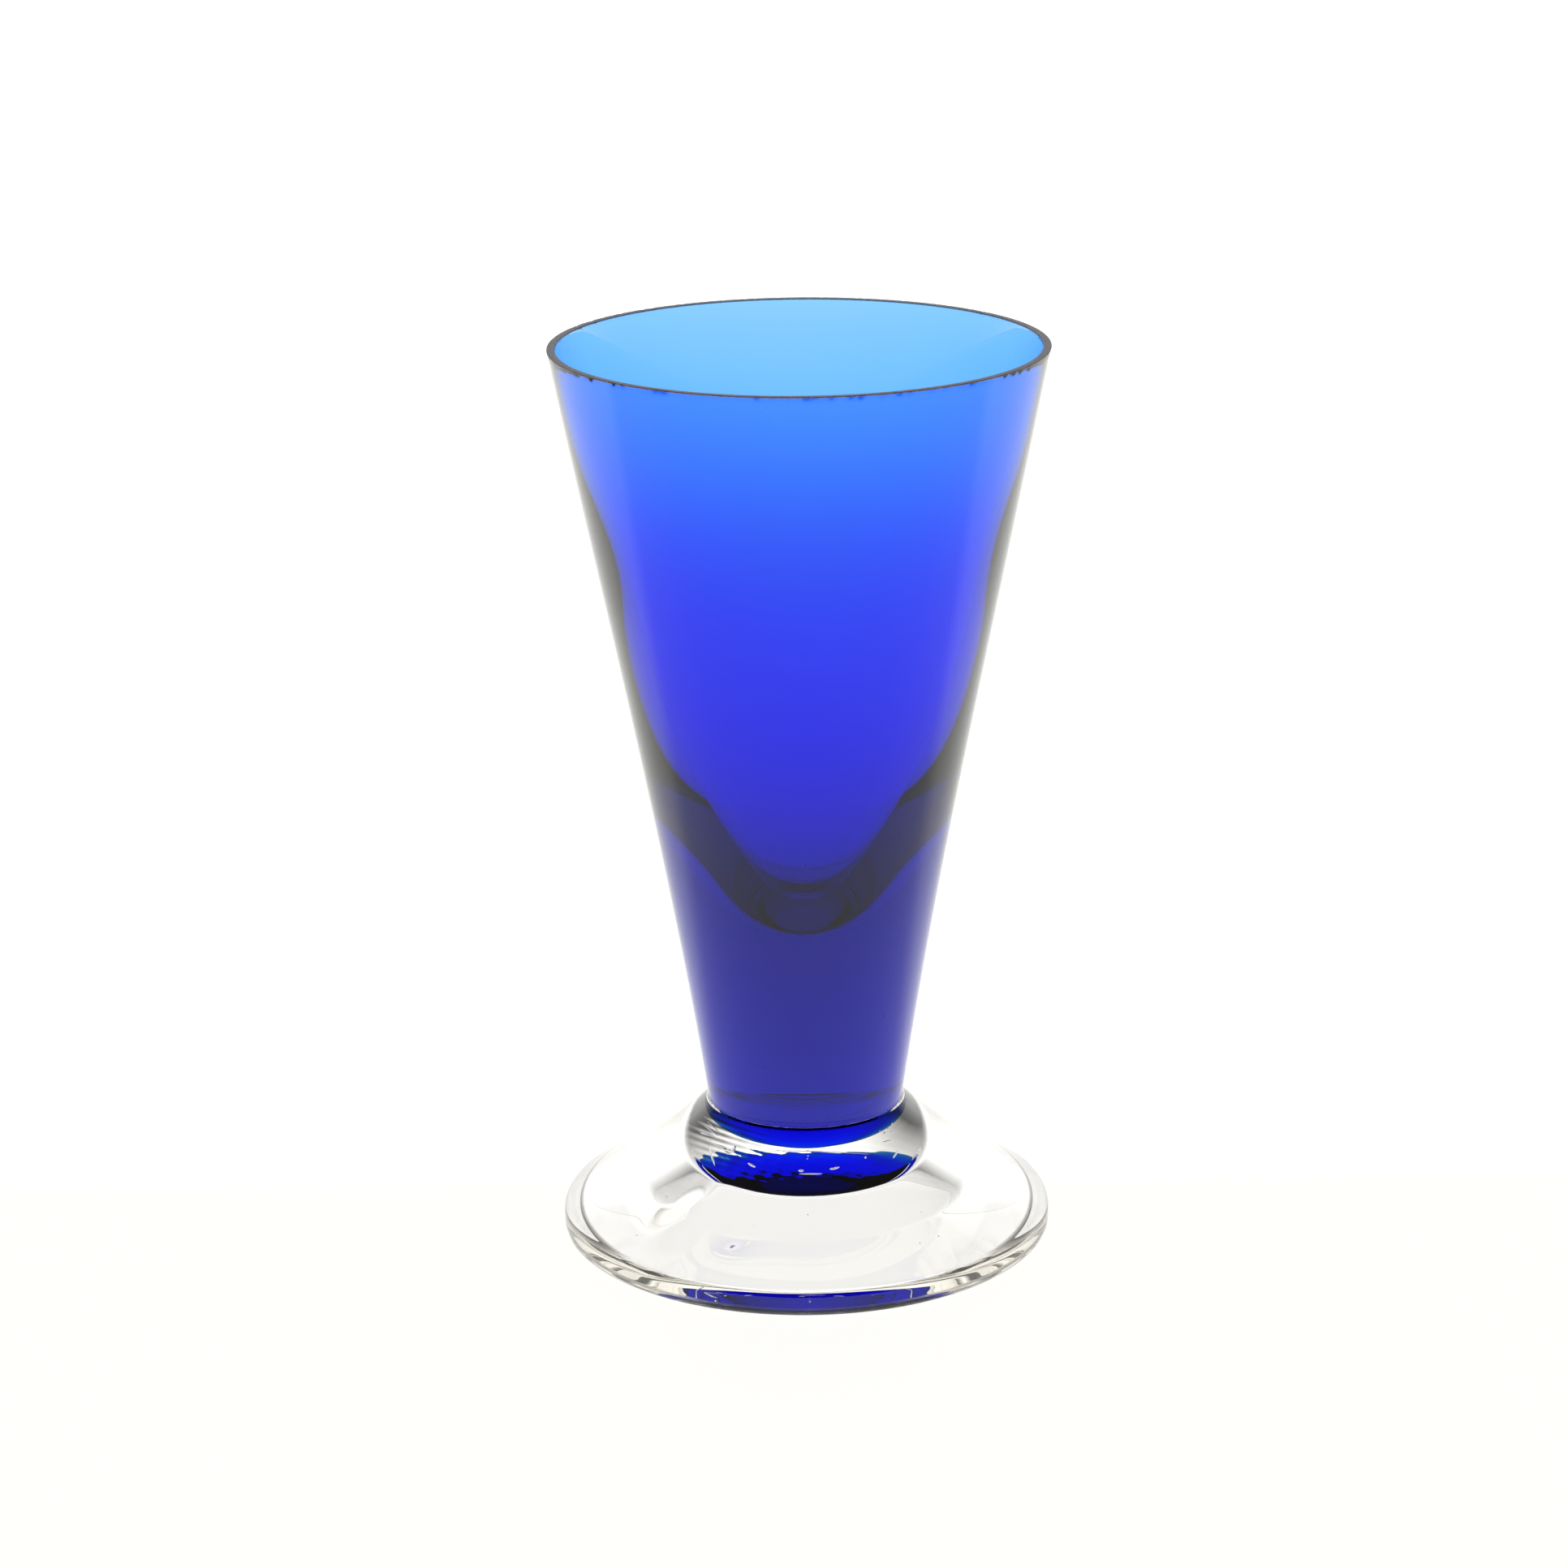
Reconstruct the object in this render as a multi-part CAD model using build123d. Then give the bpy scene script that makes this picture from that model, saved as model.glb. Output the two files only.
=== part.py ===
from build123d import *
import os

# A footed conical glass: a cobalt-blue bowl with a heavy solid base, its rounded
# end fused into the top of a clear, hollow, trumpet-shaped foot. Millimetres, +Z
# up. The origin is the centre of the ring that the foot rests on. Both pieces are
# turned about Z: every outline is drawn as (radius, height).

# ---- bowl, outside ----
height = 150.0              # table to rim
rim_radius = 40.1
rim_side_slope = 0.193      # radius gained per mm of height, at the rim
seam_radius = 16.2          # where the blue side goes into the clear foot
seam_height = 23.0
seam_side_slope = 0.145     # radius gained per mm of height, at the seam

# ---- bowl, end that sits in the foot ----
end_depth = 9.0             # flat of the end, below the seam
end_flat_radius = 8.0
end_shoulder_depth = 4.8    # shoulder between the flat and the seam
end_shoulder_inset = 1.5
end_rounding = 4.0

# ---- bowl, cavity ----
cavity_height = 54.8        # lowest point of the cavity, above the table
rim_wall = 1.3              # width of the flat ground rim
cavity_walls = (            # height above the lowest point, and wall thickness there
    (13.0, 9.9),
    (32.0, 5.5),
    (56.0, 3.5),
    (75.0, 1.95),
)

# ---- foot ----
foot_radius = 40.7
edge_height = 4.4           # height of the foot's edge before it is rounded
edge_top_rounding = 2.2
edge_base_rounding = 1.8
seam_top_slope = 1.0        # height lost per mm of radius, at the seam
edge_top_slope = 0.66       # height lost per mm of radius, at the edge
rest_ring_width = 5.2       # from the foot's outermost radius inward
hollow_bend_radius = 24.0   # where the hollow turns from shallow to steep
hollow_bend_height = 4.6
hollow_bend_rounding = 12.0
hollow_roof_radius = 16.6
hollow_roof_height = 9.25   # at its edge
hollow_roof_sag = 0.5       # how far the roof bulges down in the middle
hollow_roof_rounding = 4.0

seam = (seam_radius, seam_height)


def curve_between(start, start_slope, end, end_slope):
    """Smooth curve from start to end with a given slope (X per Z) at each end."""
    third = (end[1] - start[1]) / 3
    return Bezier(
        start,
        (start[0] + start_slope * third, start[1] + third),
        (end[0] - end_slope * third, end[1] - third),
        end,
    )


def side_curve():
    """Outside of the bowl, from the seam to the rim."""
    return curve_between(seam, seam_side_slope, (rim_radius, height), rim_side_slope)


def side_radius(z):
    """Outside radius of the bowl at height z."""
    side = side_curve()
    level = Line((0, z), (2 * rim_radius, z))
    return side.intersect(level).vertex().X


def bowl_end():
    """The bowl's end, from the axis to the seam. The foot's socket is the same."""
    return FilletPolyline(
        (0, seam_height - end_depth),
        (end_flat_radius, seam_height - end_depth),
        (seam_radius - end_shoulder_inset, seam_height - end_shoulder_depth),
        seam,
        radius=end_rounding,
    )


def rounded(section, corner, radius):
    """Section with the corner nearest the point `corner` rounded."""
    nearest = section.vertices().sort_by_distance((*corner, 0))[0]
    return fillet(nearest, radius)


def turned(section):
    """Solid made by turning a section about Z."""
    return revolve(Plane.XZ * section, axis=Axis.Z)


def make_bowl():
    wall_points = []
    for rise, wall in cavity_walls:
        z = cavity_height + rise
        wall_points.append((side_radius(z) - wall, z))
    rim_inside = (rim_radius - rim_wall, height)
    bottom = (0, cavity_height)
    top_lean = Vector(*rim_inside) - Vector(*wall_points[-1])
    cavity = Spline(bottom, *wall_points, rim_inside, tangents=[(1, 0), top_lean])
    rim = Line((rim_radius, height), rim_inside)
    axis_line = Line(bottom, (0, seam_height - end_depth))
    return turned(make_face(bowl_end() + side_curve() + rim + cavity + axis_line))


def make_foot():
    edge_top = (foot_radius, edge_height)
    edge_base = (foot_radius, 0)
    hollow_bend = (hollow_bend_radius, hollow_bend_height)
    roof_edge = (hollow_roof_radius, hollow_roof_height)
    roof_middle = (0, hollow_roof_height - hollow_roof_sag)
    top = curve_between(seam, -1 / seam_top_slope, edge_top, -1 / edge_top_slope)
    underside = Polyline(
        edge_top,
        edge_base,
        (foot_radius - rest_ring_width, 0),
        hollow_bend,
        roof_edge,
    )
    roof = TangentArc(roof_middle, roof_edge, tangent=(1, 0))
    axis_line = Line(roof_middle, (0, seam_height - end_depth))
    section = make_face(bowl_end() + top + underside + roof + axis_line)
    section = rounded(section, edge_top, edge_top_rounding)
    section = rounded(section, edge_base, edge_base_rounding)
    section = rounded(section, hollow_bend, hollow_bend_rounding)
    section = rounded(section, roof_edge, hollow_roof_rounding)
    return turned(section)


os.makedirs("parts", exist_ok=True)
export_step(make_bowl(), "parts/blue_bowl.step")
export_step(make_foot(), "parts/clear_foot.step")
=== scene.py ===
"""Looks of the footed blue glass vase: two thick pieces of hand-made glass on a pale table.

The CAD nodes are replaced by fine turned meshes of the same sizes, because light bends through
the glass and a coarse mesh would show. All lengths are in metres, except where a line says mm.
"""
import math
import bmesh
import bpy
import numpy as np
from mathutils import Matrix, Vector


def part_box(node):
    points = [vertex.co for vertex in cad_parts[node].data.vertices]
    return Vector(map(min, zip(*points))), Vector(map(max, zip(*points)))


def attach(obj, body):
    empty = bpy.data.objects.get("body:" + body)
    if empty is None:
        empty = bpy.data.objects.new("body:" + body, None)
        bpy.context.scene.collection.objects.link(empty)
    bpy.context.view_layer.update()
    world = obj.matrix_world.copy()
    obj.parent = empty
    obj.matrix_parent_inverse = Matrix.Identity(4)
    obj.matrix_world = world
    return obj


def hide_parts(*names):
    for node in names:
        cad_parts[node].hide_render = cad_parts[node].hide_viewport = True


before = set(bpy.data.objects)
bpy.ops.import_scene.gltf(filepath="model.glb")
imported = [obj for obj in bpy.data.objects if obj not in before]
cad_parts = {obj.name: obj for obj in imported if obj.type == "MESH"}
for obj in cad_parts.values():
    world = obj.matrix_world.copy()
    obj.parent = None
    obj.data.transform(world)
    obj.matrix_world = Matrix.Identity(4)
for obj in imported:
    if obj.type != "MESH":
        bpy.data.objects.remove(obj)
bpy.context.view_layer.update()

MM = 0.001
TURN = 2 * math.pi

# ---- sizes that the frame gives ----
BOWL_LOW, BOWL_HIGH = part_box("blue_bowl")
FOOT_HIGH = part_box("clear_foot")[1]
HEIGHT = BOWL_HIGH[2]
RIM_RADIUS = BOWL_HIGH[0]
END_HEIGHT = BOWL_LOW[2]
FOOT_RADIUS = FOOT_HIGH[0]
SEAM_HEIGHT = FOOT_HIGH[2]

# ---- the part's other sizes, as in the CAD ----
SEAM_RADIUS = 16.2 * MM
SEAM_SIDE_SLOPE = 0.145
RIM_SIDE_SLOPE = 0.193
END_FLAT_RADIUS = 8.0 * MM
END_SHOULDER_DEPTH = 4.8 * MM
END_SHOULDER_INSET = 1.5 * MM
END_ROUNDING = 4.0 * MM
CAVITY_HEIGHT = 54.8 * MM
RIM_WALL = 1.3 * MM
CAVITY_WALLS = (
    (13.0 * MM, 9.9 * MM),
    (32.0 * MM, 5.5 * MM),
    (56.0 * MM, 3.5 * MM),
    (75.0 * MM, 1.95 * MM),
)
EDGE_HEIGHT = 4.4 * MM
EDGE_TOP_ROUNDING = 2.2 * MM
EDGE_BASE_ROUNDING = 1.8 * MM
SEAM_TOP_SLOPE = 1.0
EDGE_TOP_SLOPE = 0.66
REST_RING_WIDTH = 5.2 * MM
HOLLOW_BEND = (24.0 * MM, 4.6 * MM)
HOLLOW_BEND_ROUNDING = 12.0 * MM
HOLLOW_ROOF_EDGE = (16.6 * MM, 9.25 * MM)
HOLLOW_ROOF_SAG = 0.5 * MM
HOLLOW_ROOF_ROUNDING = 4.0 * MM

# ---- how finely the glass is meshed ----
SEGMENTS = 512
OUTLINE_STEP = 0.7 * MM
SIDE_STEPS = 110
SIDE_LOOKUP_STEPS = 200
CAVITY_STEPS = 28             # from each of the cavity's points to the next
FOOT_TOP_STEPS = 40
ROOF_STEPS = 24
ARC_STEPS = 12
RIM_ARC_STEPS = 4
RIM_FLAT_STEP = RIM_WALL / 6
VOID_SUBDIVISIONS = 3
RIM_ROUNDING = 0.12 * MM
RING_INNER_ROUNDING = 0.5 * MM

# ---- where the two pieces are fused ----
FUSED_GAP = 0.02 * MM         # between the two fused faces, so that they don't flicker
FUSED_REACH = 0.3 * OUTLINE_STEP
FUSED_TOP = SEAM_HEIGHT - 0.3 * FUSED_GAP

# ---- hand-made unevenness of the bowl ----
BOWL_WAVE = 0.04 * MM         # both faces move together
BOWL_WAVE_TURN = 70           # radians of the wave per metre of height
CAVITY_WAVE = 0.02 * MM
CAVITY_WAVE_TURN = 150
WAVE_FADE = 20                # a power of the height, which keeps the ground rim level
INSIDE_MARGIN = 0.5 * MM      # a point this far inside the bowl's side is on the cavity
CAVITY_LEAN = 0.2 * MM        # the cavity's middle is off to the right
CAVITY_LEAN_HEIGHT = 96 * MM
CAVITY_LEAN_REACH = 25 * MM
CHIP_SEED = 5
CHIP_RARITY = 0.6             # the higher, the fewer chips
CHIP_DEPTH = 0.07 * MM
CHIP_MOST = 2                 # times CHIP_DEPTH
CHIP_DROP = 0.5               # how far down a chip reaches, as a share of its depth
CHIPPED_WIDTH = 1.6 * RIM_ROUNDING

# ---- hand-made unevenness of the foot ----
KINK_DEPTH = 0.9 * MM
KINK_ANGLE = 3.9              # radians, at the front left of the hollow
KINK_WIDTH = 0.16
KINK_REBOUND = 0.6            # a shallower swelling beside the kink
KINK_REBOUND_OFFSET = 0.3
KINK_REBOUND_WIDTH = 0.2
KINK_REACH = 5 * MM
KINK_LOWEST = 0.5 * MM
DENT_DEPTH = 0.03 * MM
DENT_WAVES = ((2200, 900, 0), (-500, 1700, 1))     # radians per metre of X and of Y, and a start
DENT_ALL_OVER = 0.3           # share of the depth on the axis
DENT_LEAST = 0.08
DENT_LEFT_REACH = 14 * MM     # the depth grows by DENT_DEPTH over this way to the left
DENT_EDGE_FADE = 3
ROOF_MARGIN = 0.1 * MM
EDGE_WAVE = 0.12 * MM
EDGE_WAVE_REACH = 3 * MM
EDGE_WAVE_LOWEST = 1 * MM

# ---- air in the glass: centre, direction, half length, half width, in mm ----
UP = (0, 0, 1)
FOOT_VOIDS = (
    ((12.6, -11.4, 19.6), UP, 0.22, 0.20),
    ((13.3, -10.9, 20.4), UP, 0.16, 0.14),
    ((14.0, -10.0, 21.0), UP, 0.16, 0.14),
    ((11.9, -12.1, 20.5), UP, 0.13, 0.12),
    ((13.6, -10.4, 19.3), UP, 0.15, 0.14),
    ((12.9, -11.9, 18.2), (1, 0.6, 0), 0.90, 0.14),
    ((0.3, -16.0, 18.3), UP, 0.16, 0.14),
    ((0.3, -15.9, 17.2), UP, 0.14, 0.12),
    ((0.2, -15.7, 16.5), UP, 0.10, 0.10),
    ((-14.6, -7.8, 19.3), (1, -1.2, -0.5), 1.9, 0.10),
    ((-14.9, -8.0, 18.6), (1, -1.3, -0.3), 2.2, 0.12),
    ((-15.2, -7.9, 17.9), (1, -1.2, -0.1), 1.6, 0.10),
    ((-14.4, -9.3, 17.3), (1, -1.0, 0.1), 2.0, 0.09),
    ((-15.6, -7.0, 17.2), (1, -1.6, 0.4), 1.4, 0.12),
    ((-13.3, -10.9, 16.8), (1, -0.8, 0), 1.2, 0.14),
    ((-12.2, -12.0, 16.0), (1, -0.8, -0.2), 0.6, 0.22),
    ((1.4, -17.2, 18.9), (1, 0.02, -0.05), 8.9, 0.07),
    ((-11.6, -14.0, 17.8), (0.5, 0, 1), 0.9, 0.34),
    ((-8.5, -16.0, 15.6), (1, 0, -0.8), 0.8, 0.22),
    ((-0.8, -17.0, 14.8), (1, 0, 0), 0.4, 0.26),
    ((0.7, -17.0, 14.1), (1, 0, 0), 1.8, 0.14),
    ((4.4, -17.0, 15.3), (1, 0, 0.3), 0.8, 0.24),
    ((9.2, -14.5, 16.1), UP, 0.20, 0.18),
    ((13.9, -11.5, 15.2), (0.6, 0, 1), 1.2, 0.15),
    ((-14.4, -10.0, 14.2), (0.35, 0, -1), 2.5, 0.16),
    ((-27.5, -22.0, 6.2), UP, 0.12, 0.16),
    ((18.2, -21.0, 9.0), UP, 0.14, 0.12),
    ((18.0, -27.5, 6.6), UP, 0.16, 0.16),
    ((21.2, -26.0, 7.4), UP, 0.14, 0.16),
    ((0.2, -23.5, 9.5), UP, 0.10, 0.14),
    ((-8.2, -24.8, 8.2), UP, 0.07, 0.07),
)
BOWL_VOIDS = (
    ((0.3, -23.5, 71.0), UP, 0.16, 0.12),
    ((12.6, -13.0, 41.5), UP, 0.20, 0.16),
    ((-6.0, -12.5, 33.0), UP, 0.14, 0.10),
)

# ---- glass: a metre of it absorbs (1 - passes) times density of red, green and blue ----
GLASS_IOR = 1.5
BLUE_PASSES = (0.2, 0.675, 0.972)
BLUE_DENSITY = 1430
BLUE_SURFACE = (0.94, 0.945, 1)
CLEAR_PASSES = (0.75, 0.72, 0.62)
CLEAR_DENSITY = 11

# ---- ground rim ----
# place on the pattern of pits, and colour
RIM_GREYS = ((0.35, (0.17, 0.14, 0.135)), (0.68, (0.47, 0.41, 0.37)))
# socket, its level on clear glass, and on ground glass
RIM_FROST = (("Roughness", 0, 0.5), ("Transmission Weight", 1, 0.25))
PIT_SCALE = 2600
PIT_DETAIL = 3

# ---- surface of the foot ----
# painted shade: the clear glass turns grey where it is seen edge-on, in place of the dim room that
# its edges show
EDGE_SHADE_BLEND = 0.5
EDGE_SHADE_START = 0.55
PAINTED_EDGE_SHADE = (0.06, 0.055, 0.05)
SMEAR_SCALE = 60
SMEAR_DETAIL = 2
SMEAR_RANGE = (0.5, 0.8)
SMEAR_ROUGHNESS = 0.02
RESTING_HEIGHTS = (0.05 * MM, 0.3 * MM)      # grey, rougher and less clear below the first, plain clear glass above the second
RESTING_GREY = (0.3, 0.26, 0.24)
RESTING_ROUGHNESS = 0.45
RESTING_TRANSMISSION = 0.5

# ---- table ----
TABLE_SIZE = 8
TABLE_GREY = (0.29, 0.29, 0.29)
TABLE_ROUGHNESS = 0.9
TABLE_GLOW = (1, 0.995, 0.965)
TABLE_GLOW_FRONT = 0.96
TABLE_GLOW_BEHIND = 1.3
TABLE_GLOW_CHANGE = (0.015, 0.05)          # how far behind the axis the glow grows

# ---- room: shares of a direction along X, Y and Z, from -1 to 1 ----
ROOM_LIGHT = (0.1, 0.065, 0.05)            # dim and warm
BACKDROP_LIGHT = (1.45, 1.45, 1.45)
BACKDROP_DEPTHS = (-0.75, 0)               # dim room in front of the first, backdrop from the second
BACKDROP_TOP = (0.5, 0.8)                  # full light below the first, dim above the second
BACKDROP_FALL = 0.62                       # how much lower that top is towards the sides
OVERHEAD_STRENGTH = 0.1

# ---- camera ----
SENSOR_WIDTH = 36             # mm
LENS = 99.79                  # mm
CAMERA_NEAREST = 0.01
CAMERA_PLACE = (0, -0.67974, 0.28671)
CAMERA_HEADING = 0.259        # degrees
CAMERA_DOWN = 17.144
CAMERA_ROLL = -0.582

# ---- light paths ----
GLASS_BOUNCES = 24
MIRROR_BOUNCES = 12


# ------------------------------------------------------------------ outlines
def curve_between(start, start_slope, end, end_slope, steps):
    """Smooth curve from start to end, with a given slope (radius per height) at each end."""
    third = (end[1] - start[1]) / 3
    controls = np.array([
        start,
        (start[0] + start_slope * third, start[1] + third),
        (end[0] - end_slope * third, end[1] - third),
        end,
    ])
    t = np.linspace(0, 1, steps + 1)[:, None]
    weights = np.hstack([(1 - t) ** 3, 3 * t * (1 - t) ** 2, 3 * t * t * (1 - t), t ** 3])
    return [tuple(point) for point in weights @ controls]


def side_curve(steps):
    """Outside of the bowl, from the seam to the rim."""
    seam = (SEAM_RADIUS, SEAM_HEIGHT)
    return curve_between(seam, SEAM_SIDE_SLOPE, (RIM_RADIUS, HEIGHT), RIM_SIDE_SLOPE, steps)


def side_radius(z):
    """Outside radius of the bowl at height z."""
    radii, heights = zip(*side_curve(SIDE_LOOKUP_STEPS))
    return float(np.interp(z, heights, radii))


def smooth_through(points, start_direction, end_direction, steps):
    """Cubic spline through points, leaving and arriving in the given directions."""
    points = np.array(points, float)
    gaps = np.linalg.norm(np.diff(points, axis=0), axis=1)
    count = len(points)
    matrix = np.zeros((count, count))
    right = np.zeros((count, 2))
    matrix[0, 0] = 1
    matrix[-1, -1] = 1
    right[0] = np.array(start_direction) / np.linalg.norm(start_direction)
    right[-1] = np.array(end_direction) / np.linalg.norm(end_direction)
    for i in range(1, count - 1):
        before, after = gaps[i - 1], gaps[i]
        matrix[i, i - 1] = after
        matrix[i, i] = 2 * (before + after)
        matrix[i, i + 1] = before
        rise_in = (points[i] - points[i - 1]) / before
        rise_out = (points[i + 1] - points[i]) / after
        right[i] = 3 * (after * rise_in + before * rise_out)
    slopes = np.linalg.solve(matrix, right)
    curve = [tuple(points[0])]
    for i, gap in enumerate(gaps):
        for t in np.linspace(0, 1, steps + 1)[1:]:
            blend_start = 2 * t ** 3 - 3 * t ** 2 + 1
            blend_end = 1 - blend_start
            pull_start = (t ** 3 - 2 * t ** 2 + t) * gap
            pull_end = (t ** 3 - t ** 2) * gap
            point = blend_start * points[i] + blend_end * points[i + 1]
            point = point + pull_start * slopes[i] + pull_end * slopes[i + 1]
            curve.append(tuple(point))
    return curve


def cavity_curve(steps):
    """Inside of the bowl, from the lowest point to the ground rim."""
    points = [(0, CAVITY_HEIGHT)]
    for rise, wall in CAVITY_WALLS:
        z = CAVITY_HEIGHT + rise
        points.append((side_radius(z) - wall, z))
    points.append((RIM_RADIUS - RIM_WALL, HEIGHT))
    top_lean = np.subtract(points[-1], points[-2])
    return smooth_through(points, (1, 0), top_lean, steps)


def rounded_path(corners, roundings, arc_steps=ARC_STEPS):
    """Corners joined by straight runs. roundings gives the radius at a corner's index."""
    path = []
    for i, corner in enumerate(corners):
        radius = roundings.get(i, 0)
        if radius == 0:
            path.append(tuple(corner))
            continue
        corner = np.array(corner, float)
        back = np.array(corners[i - 1], float) - corner
        on = np.array(corners[(i + 1) % len(corners)], float) - corner
        back /= np.linalg.norm(back)
        on /= np.linalg.norm(on)
        half_angle = math.acos(float(np.clip(back @ on, -1, 1))) / 2
        middle = corner + (back + on) / np.linalg.norm(back + on) * radius / math.sin(half_angle)
        start = corner + back * radius / math.tan(half_angle) - middle
        end = corner + on * radius / math.tan(half_angle) - middle
        start_angle = math.atan2(start[1], start[0])
        turn = math.atan2(end[1], end[0]) - start_angle
        turn = (turn + math.pi) % TURN - math.pi
        for t in np.linspace(0, 1, arc_steps + 1):
            angle = start_angle + turn * t
            path.append((middle[0] + radius * math.cos(angle), middle[1] + radius * math.sin(angle)))
    return path


def divided(path, step=OUTLINE_STEP):
    """The same path with its long runs cut into short ones."""
    points = [path[0]]
    for start, end in zip(path, path[1:]):
        length = math.dist(start, end)
        pieces = max(1, math.ceil(length / step))
        for k in range(1, pieces + 1):
            points.append(tuple(np.array(start) + (np.array(end) - np.array(start)) * k / pieces))
    return points


def end_path():
    """The bowl's end, from the axis to the seam."""
    corners = [
        (0, END_HEIGHT),
        (END_FLAT_RADIUS, END_HEIGHT),
        (SEAM_RADIUS - END_SHOULDER_INSET, SEAM_HEIGHT - END_SHOULDER_DEPTH),
        (SEAM_RADIUS, SEAM_HEIGHT),
    ]
    path = divided(rounded_path(corners, {1: END_ROUNDING, 2: END_ROUNDING}))
    before, seam = np.array(path[-2]), np.array(path[-1])
    just_below = seam + (before - seam) * FUSED_GAP / math.dist(before, seam)
    return path[:-1] + [tuple(just_below), path[-1]]


def bowl_outline():
    """Closed section of the bowl, from the axis below to the axis in the cavity."""
    side = side_curve(SIDE_STEPS)
    cavity = cavity_curve(CAVITY_STEPS)[::-1]
    rim = [side[-2], side[-1], cavity[0], cavity[1]]
    rim = rounded_path(rim, {1: RIM_ROUNDING, 2: RIM_ROUNDING}, RIM_ARC_STEPS)
    flat_start = 1 + RIM_ARC_STEPS
    flat_end = flat_start + 1
    flat = divided(rim[flat_start:flat_end + 1], RIM_FLAT_STEP)
    return end_path() + side[1:-1] + rim[1:flat_start] + flat + rim[flat_end + 1:-1] + cavity[1:]


def foot_outline():
    """Closed section of the foot, from the hollow's roof round the edge to the socket."""
    seam = (SEAM_RADIUS, SEAM_HEIGHT)
    edge = (FOOT_RADIUS, EDGE_HEIGHT)
    top = curve_between(seam, -1 / SEAM_TOP_SLOPE, edge, -1 / EDGE_TOP_SLOPE, FOOT_TOP_STEPS)
    clear_of_edge = [point for point in top if math.dist(point, edge) > EDGE_TOP_ROUNDING]
    roof = []
    for share in np.linspace(0, 1, ROOF_STEPS + 1):
        lift = HOLLOW_ROOF_SAG * (share ** 2 - 1)
        roof.append((share * HOLLOW_ROOF_EDGE[0], HOLLOW_ROOF_EDGE[1] + lift))
    clear_of_corner = [point for point in roof if math.dist(point, roof[-1]) > HOLLOW_ROOF_ROUNDING]
    corners = [
        clear_of_corner[-1],
        HOLLOW_ROOF_EDGE,
        HOLLOW_BEND,
        (FOOT_RADIUS - REST_RING_WIDTH, 0),
        (FOOT_RADIUS, 0),
        edge,
        clear_of_edge[-1],
    ]
    roundings = {
        1: HOLLOW_ROOF_ROUNDING,
        2: HOLLOW_BEND_ROUNDING,
        3: RING_INNER_ROUNDING,
        4: EDGE_BASE_ROUNDING,
        5: EDGE_TOP_ROUNDING,
    }
    below = divided(rounded_path(corners, roundings))
    socket = [(r + FUSED_GAP if r else 0, z - FUSED_GAP) for r, z in end_path()]
    return clear_of_corner[:-1] + below + clear_of_edge[-2::-1] + socket[-2::-1]


# ------------------------------------------------------------------ meshes
def turned(name, outline, wobble):
    """Mesh made by turning an outline that starts and ends on the axis.

    wobble(angle, radius, height) gives how far each point moves outward and up.
    """
    outline = np.array(outline)
    angles = np.arange(SEGMENTS) * TURN / SEGMENTS
    radius, height = outline[1:-1, 0, None], outline[1:-1, 1, None]
    out, up = wobble(angles[None, :], radius, height)
    x = (radius + out) * np.cos(angles)
    y = (radius + out) * np.sin(angles)
    z = height + up + 0 * angles
    points = np.stack([x, y, z], axis=-1).reshape(-1, 3)
    rings = len(outline) - 2
    start_pole = len(points)
    end_pole = start_pole + 1
    poles = [(0, 0, outline[0, 1]), (0, 0, outline[-1, 1])]
    faces = []
    for i in range(SEGMENTS):
        j = (i + 1) % SEGMENTS
        faces.append((start_pole, j, i))
        last = (rings - 1) * SEGMENTS
        faces.append((end_pole, last + i, last + j))
        for k in range(rings - 1):
            low, high = k * SEGMENTS, (k + 1) * SEGMENTS
            faces.append((low + i, low + j, high + j, high + i))
    mesh = bpy.data.meshes.new(name)
    mesh.from_pydata(points.tolist() + poles, [], faces)
    mesh.polygons.foreach_set("use_smooth", [True] * len(mesh.polygons))
    mesh.update()
    piece = bpy.data.objects.new(name, mesh)
    bpy.context.scene.collection.objects.link(piece)
    return piece


def mark_fused(piece):
    """Point attribute that is 1 where the two pieces are fused."""
    count = len(piece.data.vertices)
    points = np.empty(count * 3)
    piece.data.vertices.foreach_get("co", points)
    points = points.reshape(-1, 3)
    radii = np.hypot(points[:, 0], points[:, 1])
    heights = points[:, 2]
    away = np.full(count, np.inf)
    for r, z in end_path():
        away = np.minimum(away, np.hypot(radii - r, heights - z))
    fused = (away < FUSED_REACH) & (heights < FUSED_TOP)
    attribute = piece.data.attributes.new("fused", "FLOAT", "POINT")
    attribute.data.foreach_set("value", fused.astype(float))


def hump(value, middle, reach):
    """1 at the middle, falling smoothly to about a third at the reach on either side."""
    return np.exp(-((value - middle) / reach) ** 2)


def bowl_wobble(angle, radius, height):
    """Hand-made unevenness of the bowl, and small chips along its ground rim."""
    heights, radii = np.array(side_curve(SIDE_LOOKUP_STEPS))[:, ::-1].T
    side = np.interp(height, heights, radii)
    inside = (radius < side - INSIDE_MARGIN) & (height > CAVITY_HEIGHT)
    above_seam = np.clip((height - SEAM_HEIGHT) / (HEIGHT - SEAM_HEIGHT), 0, 1)
    upper = above_seam * (1 - (height / HEIGHT) ** WAVE_FADE)
    out = BOWL_WAVE * upper * np.sin(3 * angle + BOWL_WAVE_TURN * height + 1)
    lean = hump(height, CAVITY_LEAN_HEIGHT, CAVITY_LEAN_REACH)
    out = out + inside * CAVITY_LEAN * lean * np.cos(angle)
    out = out + inside * CAVITY_WAVE * upper * np.sin(2 * angle - CAVITY_WAVE_TURN * height)
    draws = np.random.default_rng(CHIP_SEED).normal(-CHIP_RARITY, 1, SEGMENTS)
    chips = np.clip(draws, 0, CHIP_MOST) * CHIP_DEPTH
    chipped = (height > HEIGHT - RIM_ROUNDING) & (radius > RIM_RADIUS - CHIPPED_WIDTH)
    return out - chipped * chips, -CHIP_DROP * chipped * chips


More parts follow.
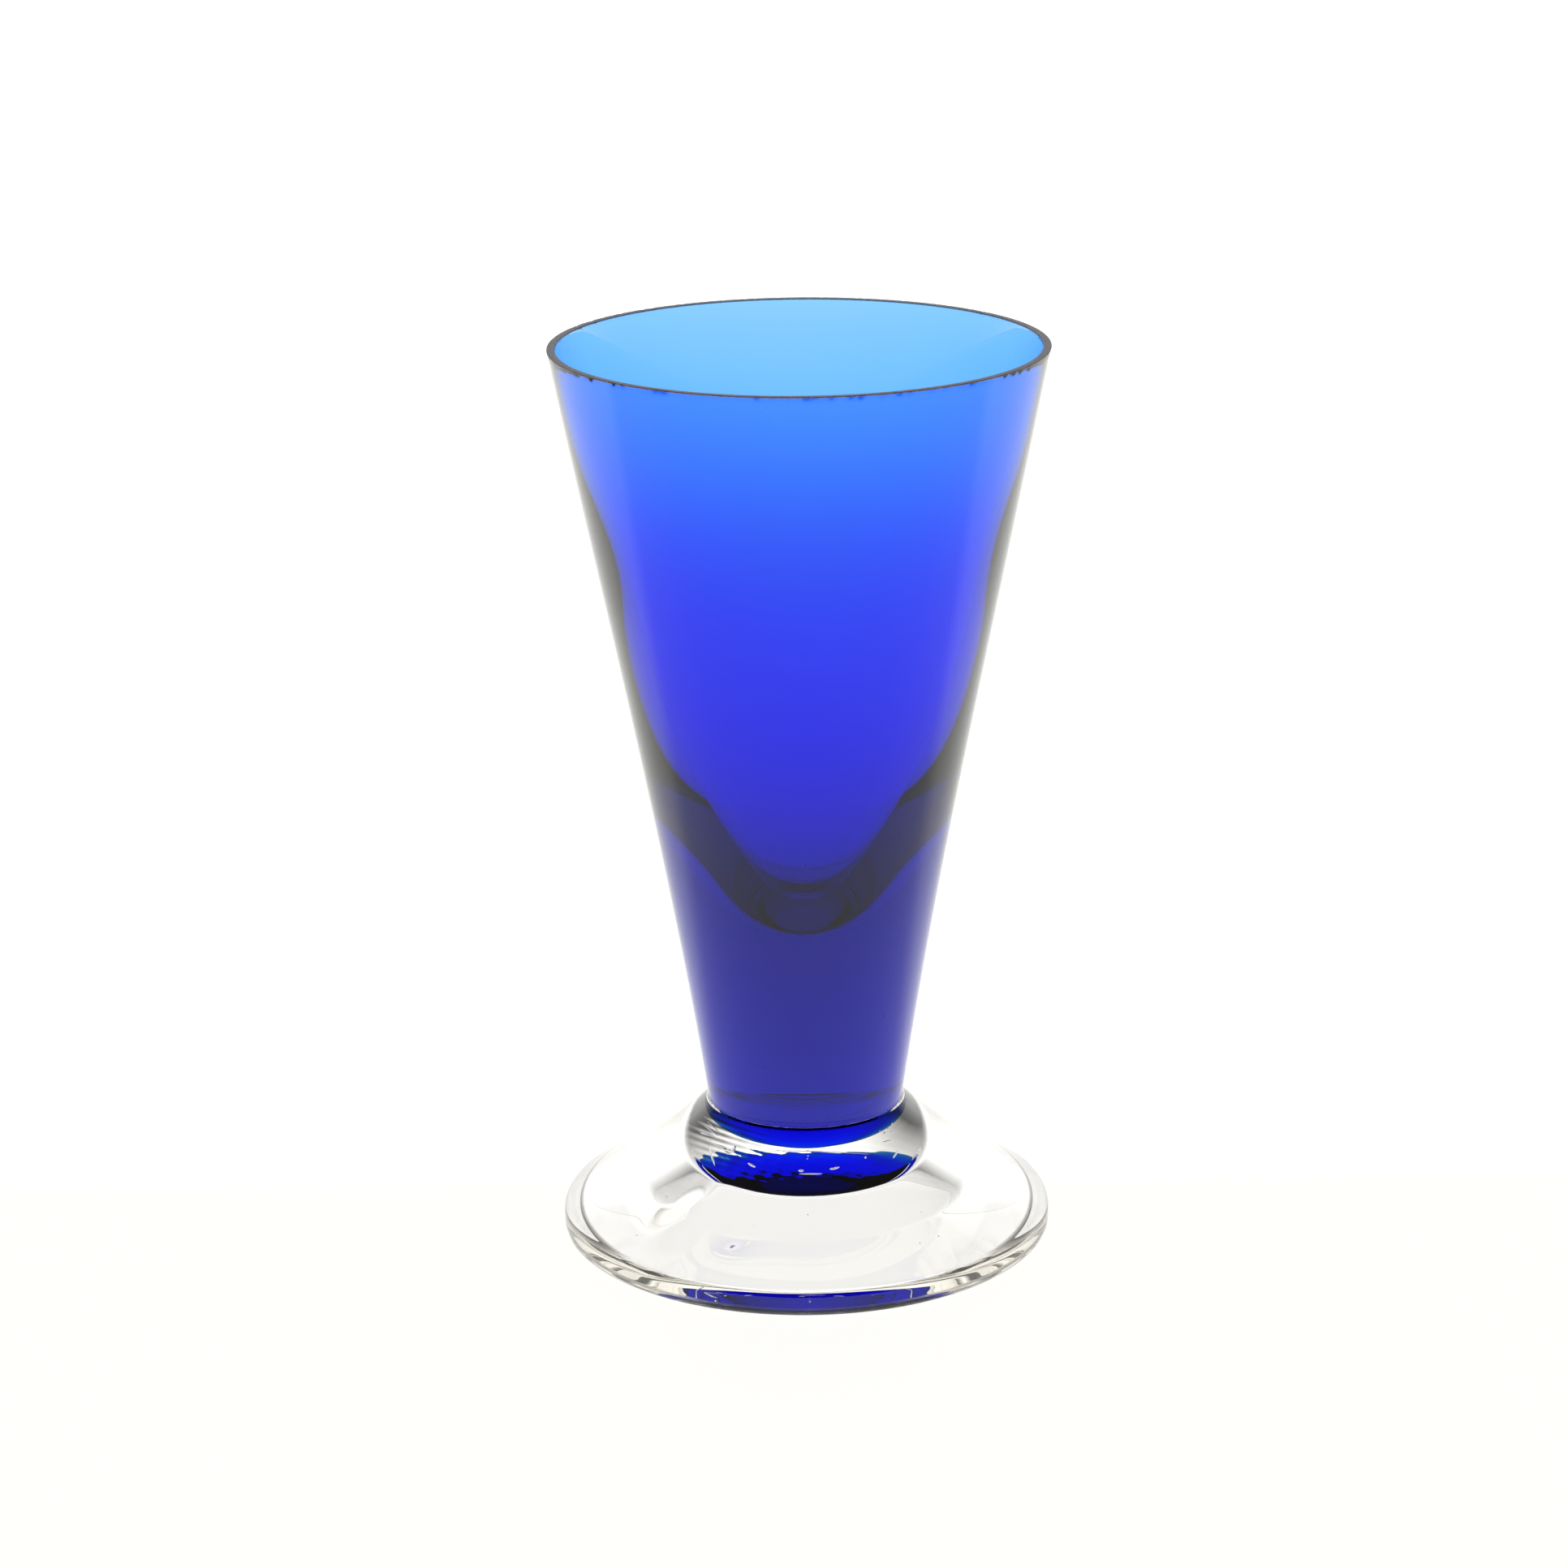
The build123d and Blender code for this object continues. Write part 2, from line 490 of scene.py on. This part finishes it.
def foot_wobble(angle, radius, height):
    """Unevenness of the foot: dents in the hollow's roof, a kink in its side, a hand-cut edge."""
    x = radius * np.cos(angle)
    y = radius * np.sin(angle)
    roof_radius, roof_height = HOLLOW_ROOF_EDGE
    roof = (height < roof_height + ROOF_MARGIN) & (radius < roof_radius)
    dents = 1
    for along_x, along_y, start in DENT_WAVES:
        dents = dents * np.sin(along_x * x + along_y * y + start)
    at_left = np.clip(DENT_ALL_OVER - x / DENT_LEFT_REACH, DENT_LEAST, 1)
    off_edge = np.clip(DENT_EDGE_FADE * (1 - radius / roof_radius), 0, 1)
    underside = (height < roof_height) & (height > KINK_LOWEST)
    underside = underside & (radius < FOOT_RADIUS - REST_RING_WIDTH)
    rebound = hump(angle, KINK_ANGLE + KINK_REBOUND_OFFSET, KINK_REBOUND_WIDTH)
    kink = hump(angle, KINK_ANGLE, KINK_WIDTH) - KINK_REBOUND * rebound
    bend = underside * hump(radius, HOLLOW_BEND[0], KINK_REACH)
    edge = hump(radius, FOOT_RADIUS, EDGE_WAVE_REACH) * (height > EDGE_WAVE_LOWEST)
    out = EDGE_WAVE * edge * np.sin(3 * angle + 0.5) * np.sin(5 * angle) ** 2
    return out, DENT_DEPTH * roof * at_left * off_edge * dents + KINK_DEPTH * bend * kink


def add_voids(piece, voids):
    """Closed pockets of air in the glass: seeds, bubbles, and drawn-out tears.

    Each is (centre, direction, half length, half width), lengths in mm.
    """
    shape = bmesh.new()
    shape.from_mesh(piece.data)
    for centre, direction, long, wide in voids:
        turn = Vector(direction).to_track_quat("Z", "Y").to_matrix().to_4x4()
        size = Matrix.Diagonal((wide * MM, wide * MM, long * MM, 1))
        place = Matrix.Translation(Vector(centre) * MM) @ turn @ size
        new = bmesh.ops.create_icosphere(
            shape, subdivisions=VOID_SUBDIVISIONS, radius=1, matrix=place)
        faces = {face for vertex in new["verts"] for face in vertex.link_faces}
        bmesh.ops.reverse_faces(shape, faces=list(faces))
        for face in faces:
            face.smooth = True
    shape.to_mesh(piece.data)
    shape.free()


# ------------------------------------------------------------------ nodes
def feed(tree, socket, source):
    """Gives a socket a number or colour, or links it to another node's output."""
    if isinstance(source, bpy.types.NodeSocket):
        tree.links.new(source, socket)
    else:
        socket.default_value = source


def opaque(colour):
    """The colour as a socket takes it, with an alpha of 1."""
    return (*colour, 1)


def remap(tree, value, limits, low, high):
    """Output that goes from low to high while the value goes from limits[0] to limits[1]."""
    node = tree.nodes.new("ShaderNodeMapRange")
    feed(tree, node.inputs["Value"], value)
    feed(tree, node.inputs["From Min"], limits[0])
    feed(tree, node.inputs["From Max"], limits[1])
    feed(tree, node.inputs["To Min"], low)
    feed(tree, node.inputs["To Max"], high)
    return node.outputs["Result"]


def blend(tree, data_type, factor, first, second):
    """Output that goes from the first to the second as the factor goes from 0 to 1."""
    node = tree.nodes.new("ShaderNodeMix")
    node.data_type = data_type
    feed(tree, node.inputs["Factor"], factor)
    feed(tree, node.inputs["A"], first)
    feed(tree, node.inputs["B"], second)
    return node.outputs["Result"]


def noise(tree, place, scale, detail):
    """Smooth random pattern, from 0 to 1, that lies still on the object."""
    node = tree.nodes.new("ShaderNodeTexNoise")
    feed(tree, node.inputs["Vector"], place)
    feed(tree, node.inputs["Scale"], scale)
    feed(tree, node.inputs["Detail"], detail)
    return node.outputs["Fac"]


def split(tree, vector):
    """The vector's X, Y and Z outputs."""
    node = tree.nodes.new("ShaderNodeSeparateXYZ")
    feed(tree, node.inputs["Vector"], vector)
    return node.outputs


def surface_place(tree):
    """Output with the surface's place in the scene."""
    return tree.nodes.new("ShaderNodeNewGeometry").outputs["Position"]


# ------------------------------------------------------------------ materials
def new_glass(name, passes, density):
    """Clear solid glass that tints light by its depth, and vanishes where it is fused."""
    material = bpy.data.materials.new(name)
    material.use_nodes = True
    tree = material.node_tree
    surface = tree.nodes["Principled BSDF"].inputs
    surface["Base Color"].default_value = (1, 1, 1, 1)
    surface["Transmission Weight"].default_value = 1
    surface["Roughness"].default_value = 0
    surface["IOR"].default_value = GLASS_IOR
    depth_tint = tree.nodes.new("ShaderNodeVolumeAbsorption")
    depth_tint.inputs["Color"].default_value = opaque(passes)
    depth_tint.inputs["Density"].default_value = density
    tree.links.new(depth_tint.outputs["Volume"], tree.nodes["Material Output"].inputs["Volume"])
    fused = tree.nodes.new("ShaderNodeAttribute")
    fused.attribute_name = "fused"
    feed(tree, surface["IOR"], remap(tree, fused.outputs["Fac"], (0, 1), GLASS_IOR, 1))
    return material


def blue_glass():
    """Cobalt-blue glass, with a ground, frosted flat on the rim: a warm grey with fine pits."""
    material = new_glass("blue_glass", BLUE_PASSES, BLUE_DENSITY)
    tree = material.node_tree
    surface = tree.nodes["Principled BSDF"].inputs
    place = surface_place(tree)
    flat = (HEIGHT - 2 * RIM_ROUNDING, HEIGHT - RIM_ROUNDING)
    ground = remap(tree, split(tree, place)["Z"], flat, 0, 1)
    greys = tree.nodes.new("ShaderNodeValToRGB")
    for stop, (position, grey) in zip(greys.color_ramp.elements, RIM_GREYS):
        stop.position = position
        stop.color = opaque(grey)
    feed(tree, greys.inputs["Fac"], noise(tree, place, PIT_SCALE, PIT_DETAIL))
    tint = blend(tree, "RGBA", ground, opaque(BLUE_SURFACE), greys.outputs["Color"])
    feed(tree, surface["Base Color"], tint)
    for socket, clear, frosted in RIM_FROST:
        feed(tree, surface[socket], remap(tree, ground, (0, 1), clear, frosted))
    return material


def clear_glass():
    """Clear glass with painted shade, grey where it is seen edge-on in place of the dim room its
    edges show; smeared here and there; grey, rougher and less clear where it stands.
    """
    material = new_glass("clear_glass", CLEAR_PASSES, CLEAR_DENSITY)
    tree = material.node_tree
    surface = tree.nodes["Principled BSDF"].inputs
    place = surface_place(tree)
    # painted shade along the edges: grey where the surface is seen edge-on
    edge_shade_weight = tree.nodes.new("ShaderNodeLayerWeight")
    edge_shade_weight.inputs["Blend"].default_value = EDGE_SHADE_BLEND
    edge_shade_amount = remap(tree, edge_shade_weight.outputs["Facing"], (EDGE_SHADE_START, 1), 0, 1)
    tint = blend(tree, "RGBA", edge_shade_amount, (1, 1, 1, 1), opaque(PAINTED_EDGE_SHADE))
    # greyer, rougher and less clear within 0.3 mm of the table
    resting = remap(tree, split(tree, place)["Z"], RESTING_HEIGHTS, 1, 0)
    feed(tree, surface["Base Color"], blend(tree, "RGBA", resting, tint, opaque(RESTING_GREY)))
    smears = noise(tree, place, SMEAR_SCALE, SMEAR_DETAIL)
    haze = remap(tree, smears, SMEAR_RANGE, 0, SMEAR_ROUGHNESS)
    feed(tree, surface["Roughness"], blend(tree, "FLOAT", resting, haze, RESTING_ROUGHNESS))
    through = remap(tree, resting, (0, 1), 1, RESTING_TRANSMISSION)
    feed(tree, surface["Transmission Weight"], through)
    return material


# ------------------------------------------------------------------ studio
def make_floor():
    """Pale matt table that glows, more behind the vase than in front of it."""
    bpy.ops.mesh.primitive_plane_add(size=TABLE_SIZE)
    floor = bpy.context.object
    floor.name = "table"
    material = bpy.data.materials.new("pale_table")
    material.use_nodes = True
    tree = material.node_tree
    surface = tree.nodes["Principled BSDF"].inputs
    surface["Base Color"].default_value = opaque(TABLE_GREY)
    surface["Roughness"].default_value = TABLE_ROUGHNESS
    surface["Specular IOR Level"].default_value = 0
    surface["Emission Color"].default_value = opaque(TABLE_GLOW)
    depth = split(tree, surface_place(tree))["Y"]
    glow = remap(tree, depth, TABLE_GLOW_CHANGE, TABLE_GLOW_FRONT, TABLE_GLOW_BEHIND)
    feed(tree, surface["Emission Strength"], glow)
    floor.data.materials.append(material)


def make_room():
    """White backdrop behind and at the sides, and a dim warm room in front and overhead.

    The backdrop's bright part ends above, lower at the sides than straight behind.
    """
    world = bpy.data.worlds.new("studio")
    bpy.context.scene.world = world
    world.use_nodes = True
    tree = world.node_tree
    background = tree.nodes["Background"].inputs
    direction = split(tree, tree.nodes.new("ShaderNodeTexCoord").outputs["Generated"])
    behind = remap(tree, direction["Y"], BACKDROP_DEPTHS, 0, 1)
    light = blend(tree, "RGBA", behind, opaque(ROOM_LIGHT), opaque(BACKDROP_LIGHT))
    feed(tree, background["Color"], light)
    aside = tree.nodes.new("ShaderNodeMath")
    aside.operation = "ABSOLUTE"
    feed(tree, aside.inputs[0], direction["X"])
    height = tree.nodes.new("ShaderNodeMath")
    height.operation = "MULTIPLY_ADD"
    feed(tree, height.inputs[0], aside.outputs["Value"])
    feed(tree, height.inputs[1], BACKDROP_FALL)
    feed(tree, height.inputs[2], direction["Z"])
    strength = remap(tree, height.outputs["Value"], BACKDROP_TOP, 1, OVERHEAD_STRENGTH)
    feed(tree, background["Strength"], strength)


def make_camera():
    """Long lens a little above the rim, looking down at the foot."""
    data = bpy.data.cameras.new("camera")
    camera = bpy.data.objects.new("camera", data)
    bpy.context.scene.collection.objects.link(camera)
    data.sensor_width = SENSOR_WIDTH
    data.lens = LENS
    data.clip_start = CAMERA_NEAREST
    place = Matrix.Translation(CAMERA_PLACE)
    heading = Matrix.Rotation(math.radians(CAMERA_HEADING), 4, "Z")
    tilt = Matrix.Rotation(math.radians(90 - CAMERA_DOWN), 4, "X")
    roll = Matrix.Rotation(math.radians(CAMERA_ROLL), 4, "Z")
    camera.matrix_world = place @ heading @ tilt @ roll
    bpy.context.scene.camera = camera


def set_light_paths():
    """Enough bounces for light that is trapped in thick glass, and colours shown as they come."""
    cycles = bpy.context.scene.cycles
    cycles.max_bounces = GLASS_BOUNCES
    cycles.transmission_bounces = GLASS_BOUNCES
    cycles.glossy_bounces = MIRROR_BOUNCES
    bpy.context.scene.view_settings.view_transform = "Standard"


# ------------------------------------------------------------------ the object
def make_bowl():
    """Blue bowl with its bubbles."""
    bowl = turned("bowl", bowl_outline(), bowl_wobble)
    add_voids(bowl, BOWL_VOIDS)
    mark_fused(bowl)
    bowl.data.materials.append(blue_glass())
    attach(bowl, "root")
    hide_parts("blue_bowl")


def make_foot():
    """Clear foot with its seeds and drawn-out tears."""
    foot = turned("foot", foot_outline(), foot_wobble)
    add_voids(foot, FOOT_VOIDS)
    mark_fused(foot)
    foot.data.materials.append(clear_glass())
    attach(foot, "root")
    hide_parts("clear_foot")


make_bowl()
make_foot()
make_floor()
make_room()
make_camera()
set_light_paths()
